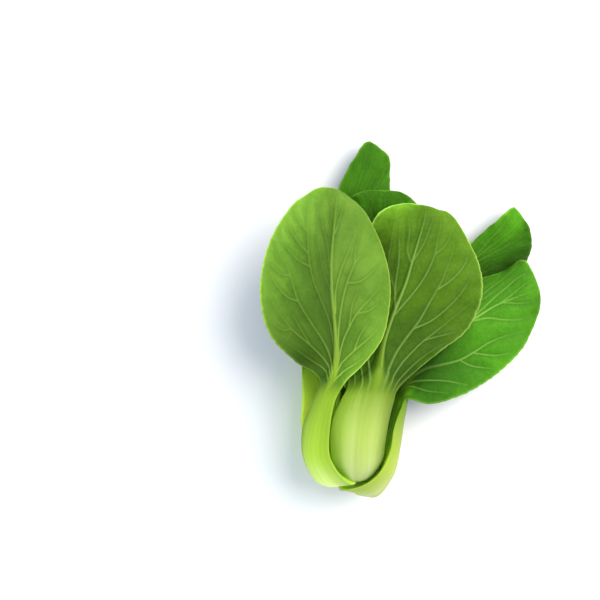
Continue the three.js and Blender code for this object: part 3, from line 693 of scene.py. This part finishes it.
def add_uv(piece, name, uv):
    mesh = piece.data
    layer = mesh.uv_layers.new(name=name)
    corner = np.empty(len(mesh.loops), np.int32)
    mesh.loops.foreach_get("vertex_index", corner)
    layer.data.foreach_set("uv", uv[corner].astype(np.float32).reshape(-1))


# Colours of the skins, and the tints that vary them

LIGHTEST_SKIN = (0.88, 0.88, 0.88)
OUTER_GREEN = (0.085, 0.178, 0.016)
FRONT_OUTER_GREEN = (0.051, 0.12, 0.003)
INNER_GREEN = (0.04, 0.165, 0.004)
HEART_GREEN = (0.22, 0.37, 0.03)
VEIN_GREEN = (0.24, 0.38, 0.05)
FRONT_VEIN_GREEN = (0.19, 0.32, 0.06)
INNER_VEIN_GREEN = (0.16, 0.34, 0.03)
RIGHT_VEIN_GREEN = (0.21, 0.4, 0.06)
# Each stalk's flank colour is partly its own greener margin and partly painted shade.
WHITE_STALK = {
    "foot": (0.54, 0.62, 0.24),
    "middle": (0.44, 0.56, 0.12),
    "neck": (0.19, 0.32, 0.02),
    "flank_and_shade": (0.19, 0.32, 0.02),
    "hollow": (0.55, 0.7, 0.14),
}
GREEN_STALK = {
    "foot": (0.52, 0.6, 0.2),
    "middle": (0.35, 0.53, 0.04),
    "neck": (0.22, 0.36, 0.02),
    "flank_and_shade": (0.22, 0.36, 0.02),
    "hollow": (0.45, 0.66, 0.05),
}
RIGHT_STALK = {
    "foot": (0.56, 0.62, 0.22),
    "middle": (0.46, 0.56, 0.1),
    "neck": (0.12, 0.29, 0.01),
    "flank_and_shade": (0.36, 0.48, 0.04),
    "hollow": (0.3, 0.62, 0.02),
}
LIGHT_BLOTCH_TINT = (1.18, 1.13, 1.2)
DARK_BLOTCH_TINT = (0.84, 0.89, 0.8)
BLADE_BASE_TINT = (0.65, 0.8, 0.5)
BESIDE_VEIN_PAINTED_SHADE = (0.58, 0.67, 0.52)
LIP_TINT = (1.4, 1.3, 1.2)
PALE_STREAK_TINT = (1.05, 1.03, 1.25)
GREEN_STREAK_TINT = (0.93, 0.96, 0.82)
FIBRE_TINT = (0.78, 0.86, 0.62)
CUT_CREAM = (0.66, 0.68, 0.4)
CUT_RING = (0.5, 0.5, 0.24)
PORE_BROWN = (0.33, 0.28, 0.12)
RIM_BROWN = (0.35, 0.3, 0.1)
STEM_GREEN = (0.3, 0.42, 0.06)
PAPER_DARK = (0.73, 0.73, 0.73)
PAPER_LIGHT = (0.75, 0.75, 0.75)


# Materials

class Nodes:
    """A material's node tree, built one named step at a time."""

    def __init__(self, name):
        self.material = bpy.data.materials.new(name)
        self.material.use_nodes = True
        self.tree = self.material.node_tree
        self.tree.nodes.clear()
        self.output = self.tree.nodes.new("ShaderNodeOutputMaterial")
        self.shader = self.tree.nodes.new("ShaderNodeBsdfPrincipled")
        self.link(self.shader.outputs["BSDF"], self.output.inputs["Surface"])

    def link(self, source, target):
        self.tree.links.new(source, target)

    def put(self, target, value):
        if isinstance(value, bpy.types.NodeSocket):
            self.link(value, target)
        else:
            target.default_value = value

    def attribute(self, name):
        node = self.tree.nodes.new("ShaderNodeAttribute")
        node.attribute_name = name
        return node.outputs["Fac"]

    def uv(self, name, scale=(1, 1, 1)):
        node = self.tree.nodes.new("ShaderNodeUVMap")
        node.uv_map = name
        mapping = self.tree.nodes.new("ShaderNodeMapping")
        mapping.inputs["Scale"].default_value = scale
        self.link(node.outputs["UV"], mapping.inputs["Vector"])
        return mapping.outputs["Vector"]

    def noise(self, vector, scale, detail=3, roughness=0.55):
        node = self.tree.nodes.new("ShaderNodeTexNoise")
        node.inputs["Scale"].default_value = scale
        node.inputs["Detail"].default_value = detail
        node.inputs["Roughness"].default_value = roughness
        self.link(vector, node.inputs["Vector"])
        return node.outputs["Fac"]

    def cells(self, vector, scale):
        """Distance to the nearest cell edge, for the net of small veins."""
        node = self.tree.nodes.new("ShaderNodeTexVoronoi")
        node.feature = "DISTANCE_TO_EDGE"
        node.inputs["Scale"].default_value = scale
        self.link(vector, node.inputs["Vector"])
        return node.outputs["Distance"]

    def math(self, operation, first, second=0.0, clamp=False):
        node = self.tree.nodes.new("ShaderNodeMath")
        node.operation = operation
        node.use_clamp = clamp
        self.put(node.inputs[0], first)
        self.put(node.inputs[1], second)
        return node.outputs[0]

    def ramp(self, value, low, high, to_low=0.0, to_high=1.0):
        node = self.tree.nodes.new("ShaderNodeMapRange")
        node.interpolation_type = "SMOOTHSTEP"
        self.put(node.inputs["Value"], value)
        node.inputs["From Min"].default_value = low
        node.inputs["From Max"].default_value = high
        node.inputs["To Min"].default_value = to_low
        node.inputs["To Max"].default_value = to_high
        return node.outputs["Result"]

    def mix(self, factor, first, second, blend="MIX"):
        node = self.tree.nodes.new("ShaderNodeMix")
        node.data_type = "RGBA"
        node.blend_type = blend
        self.put(node.inputs[0], factor)
        for socket, value in ((node.inputs[6], first), (node.inputs[7], second)):
            self.put(socket, (*value, 1) if isinstance(value, tuple) else value)
        return node.outputs[2]

    def tinted(self, colour, tint):
        return self.mix(1.0, colour, tint, "MULTIPLY")

    def bump(self, height, distance, normal=None):
        node = self.tree.nodes.new("ShaderNodeBump")
        node.inputs["Distance"].default_value = distance
        self.link(height, node.inputs["Height"])
        if normal is not None:
            self.link(normal, node.inputs["Normal"])
        return node.outputs["Normal"]

    def translucence(self, weight, radius, scale):
        self.shader.inputs["Subsurface Weight"].default_value = weight
        self.shader.inputs["Subsurface Radius"].default_value = radius
        self.shader.inputs["Subsurface Scale"].default_value = scale


def blade_colour(n, outer, inner, vein_colour, nets, seed):
    """Green with soft blotches, darker at its base, with painted shade beside the veins and a paler
    lip.
    """
    flat = n.uv("leaf")
    height = n.attribute("height")
    face = n.attribute("inner")
    fine_net, coarse_net = nets
    blotches = n.noise(flat, 5.0 + 0.3 * seed, 2, 0.5)
    specks = n.noise(flat, 42.0, 3, 0.6)
    blade = n.mix(face, outer, inner)
    lighter = n.tinted(blade, LIGHT_BLOTCH_TINT)
    darker = n.tinted(blade, DARK_BLOTCH_TINT)
    blade = n.mix(n.ramp(blotches, 0.35, 0.65), darker, lighter)
    blade = n.mix(n.ramp(specks, 0.3, 0.75, 0.0, 0.08), blade, vein_colour)
    near_base = n.ramp(height, 0.95, 1.6, 1.0, 0.0)
    blade = n.mix(near_base, blade, n.tinted(blade, BLADE_BASE_TINT))
    blade = n.mix(n.ramp(fine_net, 0.0, 0.12, 0.03, 0.0), blade, vein_colour)
    blade = n.mix(n.ramp(coarse_net, 0.0, 0.05, 0.03, 0.0), blade, vein_colour)
    # Painted shade beside the veins.
    painted_shade_beside_vein = n.math("MULTIPLY", n.attribute("painted_shade_beside_vein"), 0.9)
    blade = n.mix(painted_shade_beside_vein, blade, n.tinted(blade, BESIDE_VEIN_PAINTED_SHADE))
    vein_here = n.math("MULTIPLY", n.attribute("vein"), n.ramp(height, 1.0, 2.0, 0.85, 0.36))
    blade = n.mix(vein_here, blade, vein_colour)
    lip_here = n.math("MULTIPLY", n.attribute("margin"), n.ramp(face, 0.0, 1.0, 0.85, 0.35))
    return n.mix(lip_here, blade, n.tinted(vein_colour, LIP_TINT))


def stalk_colour(n, palette, vein_colour, fibres):
    """Whitish at the foot and green at the neck, with broad soft streaks and fine fibres."""
    height = n.attribute("height")
    stalk = n.mix(n.ramp(height, 0.12, 0.6), palette["foot"], palette["middle"])
    # The flanks take a greener, darker colour: their own colour and painted shade where leaves overlap.
    flank_and_shade = n.math("MULTIPLY", n.attribute("flank_and_shade"), 0.75)
    stalk = n.mix(flank_and_shade, stalk, palette["flank_and_shade"])
    stalk = n.mix(n.attribute("inner"), stalk, palette["hollow"])
    stalk = n.mix(n.ramp(height, 0.5, 1.02), stalk, palette["neck"])
    streaks = n.noise(n.uv("grain", (2.2, 0.3, 1)), 2.5, 1, 0.4)
    paler = n.tinted(stalk, PALE_STREAK_TINT)
    greener = n.tinted(stalk, GREEN_STREAK_TINT)
    stalk = n.mix(n.ramp(streaks, 0.3, 0.7), greener, paler)
    stalk = n.mix(n.ramp(fibres, 0.4, 0.7, 0.0, 0.3), stalk, n.tinted(stalk, FIBRE_TINT))
    return n.mix(n.ramp(height, 1.05, 1.5), stalk, vein_colour)


def leaf_material(name, outer, inner, vein_colour, palette, seed):
    """Waxy green blade with its veins and net, over a pale juicy stalk."""
    n = Nodes(name)
    flat = n.uv("leaf")
    stalk = n.attribute("stalk")
    fine_net = n.cells(flat, 38.0)
    coarse_net = n.cells(flat, 15.0)
    fibres = n.noise(n.uv("grain", (15, 1.2, 1)), 3.0, 5, 0.6)

    blade = blade_colour(n, outer, inner, vein_colour, (fine_net, coarse_net), seed)
    pale = stalk_colour(n, palette, vein_colour, fibres)
    vein_on_stalk = n.math("MULTIPLY", n.attribute("vein"), n.attribute("petiole"))
    skin_colour = n.mix(n.math("MAXIMUM", stalk, vein_on_stalk), blade, pale)
    # Painted light and shade: the tone table makes the skin lighter or darker by place on each leaf.
    skin_colour = n.tinted(skin_colour, n.attribute("tone_with_painted_shade"))
    skin_colour = n.mix(1.0, skin_colour, LIGHTEST_SKIN, "DARKEN")
    n.link(skin_colour, n.shader.inputs["Base Color"])

    gloss = n.noise(flat, 60.0, 2, 0.5)
    n.link(n.ramp(gloss, 0.3, 0.7, 0.48, 0.6), n.shader.inputs["Roughness"])
    n.shader.inputs["Specular IOR Level"].default_value = 0.05
    n.translucence(0.2, (0.5, 1.0, 0.25), 0.0015)

    on_blade = n.math("SUBTRACT", 1.0, stalk, clamp=True)
    fine_relief = n.math("MULTIPLY", n.ramp(fine_net, 0.0, 0.18), on_blade)
    coarse_relief = n.math("MULTIPLY", n.ramp(coarse_net, 0.0, 0.14), on_blade)
    skin = n.bump(fine_relief, 0.00005)
    skin = n.bump(coarse_relief, 0.00007, skin)
    skin = n.bump(n.math("MULTIPLY", fibres, stalk), 0.00018, skin)
    skin = n.bump(n.noise(flat, 190.0, 2), 0.00004, skin)
    n.link(skin, n.shader.inputs["Normal"])
    return n.material


def crown_material():
    """The cream cut face of the root end, ringed and browned at its rim."""
    n = Nodes("crown_flesh")
    rings = n.noise(n.uv("leaf", (1.5, 14, 1)), 5.0, 4)
    pores = n.cells(n.uv("leaf"), 60.0)
    flesh = n.mix(n.ramp(rings, 0.35, 0.7), CUT_CREAM, CUT_RING)
    flesh = n.mix(n.ramp(pores, 0.0, 0.2, 0.4, 0.0), flesh, PORE_BROWN)
    flesh = n.mix(n.attribute("rim"), flesh, RIM_BROWN)
    flesh = n.mix(n.attribute("green"), flesh, STEM_GREEN)
    n.link(flesh, n.shader.inputs["Base Color"])
    n.link(n.ramp(rings, 0.3, 0.7, 0.5, 0.7), n.shader.inputs["Roughness"])
    n.translucence(0.2, (0.6, 0.8, 0.3), 0.002)
    n.link(n.bump(n.math("ADD", rings, pores), 0.0004), n.shader.inputs["Normal"])
    return n.material


def floor_material():
    """Plain white paper with a fine grain."""
    n = Nodes("paper")
    grain = n.noise(n.uv("floor"), 900.0, 2)
    n.link(n.mix(grain, PAPER_DARK, PAPER_LIGHT), n.shader.inputs["Base Color"])
    n.shader.inputs["Roughness"].default_value = 0.9
    n.shader.inputs["Specular IOR Level"].default_value = 0.1
    return n.material


# The crown, as (distance from its axis, y) from the middle of the cut face up to its top

CROWN_PROFILE = [
    (0.02, -21.3), (1.5, -21.4), (3.0, -21.55), (4.4, -21.75), (5.4, -21.95), (5.9, -21.9),
    (6.25, -21.3), (6.7, -20.0), (7.1, -18.4), (7.4, -16.6), (7.1, -14.4), (6.2, -12.2),
    (5.1, -9.6), (4.3, -7.2), (3.6, -4.8), (2.9, -3.0), (1.8, -2.2), (0.02, -2.0),
]
CROWN_ROWS = 70
CROWN_TURNS = 72
CROWN_LOBES = 5
LOBE_DEPTH = 0.03
CUT_RING_HEIGHT = 0.12


def crown_piece():
    """The stem that the leaves grow from, with leaf-trace ridges and a knife-cut face."""
    line = spline(CROWN_PROFILE, np.linspace(0, len(CROWN_PROFILE) - 1, CROWN_ROWS))
    from_axis, y = line[:, 0], line[:, 1]
    angle = np.linspace(0, 2 * math.pi, CROWN_TURNS, endpoint=False)
    lobes = 1 + LOBE_DEPTH * np.cos(CROWN_LOBES * angle)[None] * smoothstep(1, 5, from_axis)[:, None]
    radius = np.maximum(from_axis, 0.02)[:, None] * lobes
    cut_face = smoothstep(-21.2, -21.8, y)[:, None]
    rings = CUT_RING_HEIGHT * np.cos(from_axis * 4.2)[:, None] * cut_face
    x = BULB_X + radius * np.cos(angle)
    z = BULB_Z + radius * np.sin(angle)
    ringed_y = y[:, None] + rings * np.ones(CROWN_TURNS)
    verts = (np.stack([x, ringed_y, z], axis=-1).reshape(-1, 3) - REST_SPOT) * MM
    rim = np.exp(-(((from_axis - 6.0) / 0.5) ** 2)) * (y < -20.5)
    green = smoothstep(-21.4, -20.2, y)
    attributes = {"rim": np.repeat(rim, CROWN_TURNS), "green": np.repeat(green, CROWN_TURNS)}
    u = np.tile(angle / (2 * math.pi), CROWN_ROWS)
    v = np.repeat(np.linspace(0, 0.4, CROWN_ROWS), CROWN_TURNS)
    uv = np.stack([u, v], axis=1)
    piece = mesh_piece("crown_flesh", verts, crown_faces(), attributes, uv)
    piece.data.materials.append(crown_material())
    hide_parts("crown")
    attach(piece, "root")


def crown_faces():
    """Quads between the crown's rings, and one face over each end."""
    faces = []
    for row in range(CROWN_ROWS - 1):
        below = row * CROWN_TURNS
        above = below + CROWN_TURNS
        for turn in range(CROWN_TURNS):
            after = (turn + 1) % CROWN_TURNS
            faces.append([below + turn, above + turn, above + after, below + after])
    top = (CROWN_ROWS - 1) * CROWN_TURNS
    faces.append(list(range(CROWN_TURNS)))
    faces.append([top + turn for turn in reversed(range(CROWN_TURNS))])
    return faces


# Camera, light and floor, in metres

CAMERA_DISTANCE = 1.6
CAMERA_AIM = (-0.0232, 0.0735, 0.030)
VIEW_WIDTH = 0.324
LIGHT_AIM = (0.03, 0.07, 0.02)
FLOOR_REACH = 3.0
SKY_COLOUR = (0.7, 0.81, 1.0)
SKY_STRENGTH = 0.95


def camera():
    """Straight over the head, with the head at the right of the view as photographed."""
    data = bpy.data.cameras.new("camera")
    data.sensor_width = 36
    data.lens = data.sensor_width * CAMERA_DISTANCE / VIEW_WIDTH
    data.clip_end = 20
    eye = bpy.data.objects.new("camera", data)
    aim_x, aim_y, aim_z = CAMERA_AIM
    eye.location = (aim_x, aim_y, aim_z + CAMERA_DISTANCE)
    bpy.context.scene.collection.objects.link(eye)
    bpy.context.scene.camera = eye


def area_light(name, place, size, power, colour):
    """A round lamp that faces the head."""
    data = bpy.data.lights.new(name, "AREA")
    data.shape = "DISK"
    data.size = size
    data.energy = power
    data.color = colour
    lamp = bpy.data.objects.new(name, data)
    lamp.location = place
    direction = np.array(LIGHT_AIM) - np.array(place)
    lamp.rotation_euler = Vector(direction).to_track_quat("-Z", "Y").to_euler()
    bpy.context.scene.collection.objects.link(lamp)


def studio():
    """Pale sky light all round, a large soft key at the upper right and a weak fill opposite."""
    scene = bpy.context.scene
    world = bpy.data.worlds.new("studio")
    world.use_nodes = True
    background = world.node_tree.nodes["Background"]
    background.inputs["Color"].default_value = (*SKY_COLOUR, 1)
    background.inputs["Strength"].default_value = SKY_STRENGTH
    scene.world = world
    area_light("key", place=(1.0, 0.6, 1.35), size=1.8, power=54, colour=(1.0, 0.95, 0.85))
    area_light("fill", place=(-0.8, -0.9, 0.9), size=1.2, power=7, colour=(1.0, 0.98, 0.92))
    scene.view_settings.view_transform = "Standard"


def floor():
    mesh = bpy.data.meshes.new("floor")
    r = FLOOR_REACH
    corners = [(-r, -r, 0), (r, -r, 0), (r, r, 0), (-r, r, 0)]
    mesh.from_pydata(corners, [], [(0, 1, 2, 3)])
    ground = bpy.data.objects.new("floor", mesh)
    bpy.context.scene.collection.objects.link(ground)
    add_uv(ground, "floor", np.array([corner[:2] for corner in corners]))
    mesh.materials.append(floor_material())


# The whole head. A leaf's waves are their number along the blade and their height, its size is
# its rows and columns of points, and its colours are its two faces, its veins and its stalk.

def build_leaf(name, stations, waves, seed, size, colours, slot, veins=None, tones_with_painted_shade=EVEN_TONES, **shape):
    leaf = Leaf(stations, waves, seed)
    if veins is None:
        veins = regular_veins(leaf.blade_start, leaf.last, 4)
    material = leaf_material(name + "_skin", *colours, seed)
    leaf_piece(name, LeafGrid(leaf, *size), veins, material, slot, tones_with_painted_shade, **shape)


camera()
studio()
floor()
crown_piece()
build_leaf(
    "front_left_leaf",
    FRONT_LEFT,
    waves=(3, 0.6),
    seed=1.0,
    size=(250, 184),
    colours=(OUTER_GREEN, INNER_GREEN, VEIN_GREEN, GREEN_STALK),
    slot="blade_outer_face",
    veins=FRONT_LEFT_VEINS,
    tones_with_painted_shade=FRONT_LEFT_TONES_WITH_SHADE,
    midrib=0.44,
)
build_leaf(
    "right_leaf",
    RIGHT,
    waves=(3, 1.3),
    seed=2.0,
    size=(250, 176),
    colours=(OUTER_GREEN, INNER_GREEN, RIGHT_VEIN_GREEN, RIGHT_STALK),
    slot="blade_inner_face",
    veins=RIGHT_VEINS,
    tones_with_painted_shade=RIGHT_TONES_WITH_SHADE,
    inner_light=2.8,
)
build_leaf(
    "back_left_leaf",
    BACK_LEFT,
    waves=(4, 1.2),
    seed=3.0,
    size=(240, 96),
    colours=(OUTER_GREEN, INNER_GREEN, INNER_VEIN_GREEN, GREEN_STALK),
    slot="blade_inner_face",
    tones_with_painted_shade=BACK_LEFT_TONES_WITH_SHADE,
)
build_leaf(
    "back_right_leaf",
    BACK_RIGHT,
    waves=(4, 1.2),
    seed=4.0,
    size=(240, 96),
    colours=(OUTER_GREEN, INNER_GREEN, INNER_VEIN_GREEN, GREEN_STALK),
    slot="blade_inner_face",
    tones_with_painted_shade=BACK_RIGHT_TONES_WITH_SHADE,
)
build_leaf(
    "front_leaf",
    FRONT,
    waves=(4, 0.9),
    seed=5.0,
    size=(250, 184),
    colours=(FRONT_OUTER_GREEN, INNER_GREEN, FRONT_VEIN_GREEN, WHITE_STALK),
    slot="blade_outer_face",
    veins=FRONT_VEINS,
    tones_with_painted_shade=FRONT_TONES_WITH_SHADE,
    midrib=0.56,
)
build_leaf(
    "back_leaf",
    BACK,
    waves=(5, 1.4),
    seed=6.0,
    size=(200, 96),
    colours=(OUTER_GREEN, INNER_GREEN, INNER_VEIN_GREEN, GREEN_STALK),
    slot="blade_inner_face",
    tones_with_painted_shade=BACK_TONES_WITH_SHADE,
)
for index, (name, azimuth, out, reach, half_width) in enumerate([
    ("heart_leaf_upper", 78, 10, 58, 11),
    ("heart_leaf_left", 195, 8.5, 50, 9),
    ("heart_leaf_right", 318, 8, 44, 8),
]):
    build_leaf(
        name,
        heart_stations(azimuth, out, reach, half_width),
        waves=(2, 0.3),
        seed=7.0 + index,
        size=(100, 40),
        colours=(HEART_GREEN, HEART_GREEN, VEIN_GREEN, GREEN_STALK),
        slot="heart_blade",
        quilt=0.3,
    )
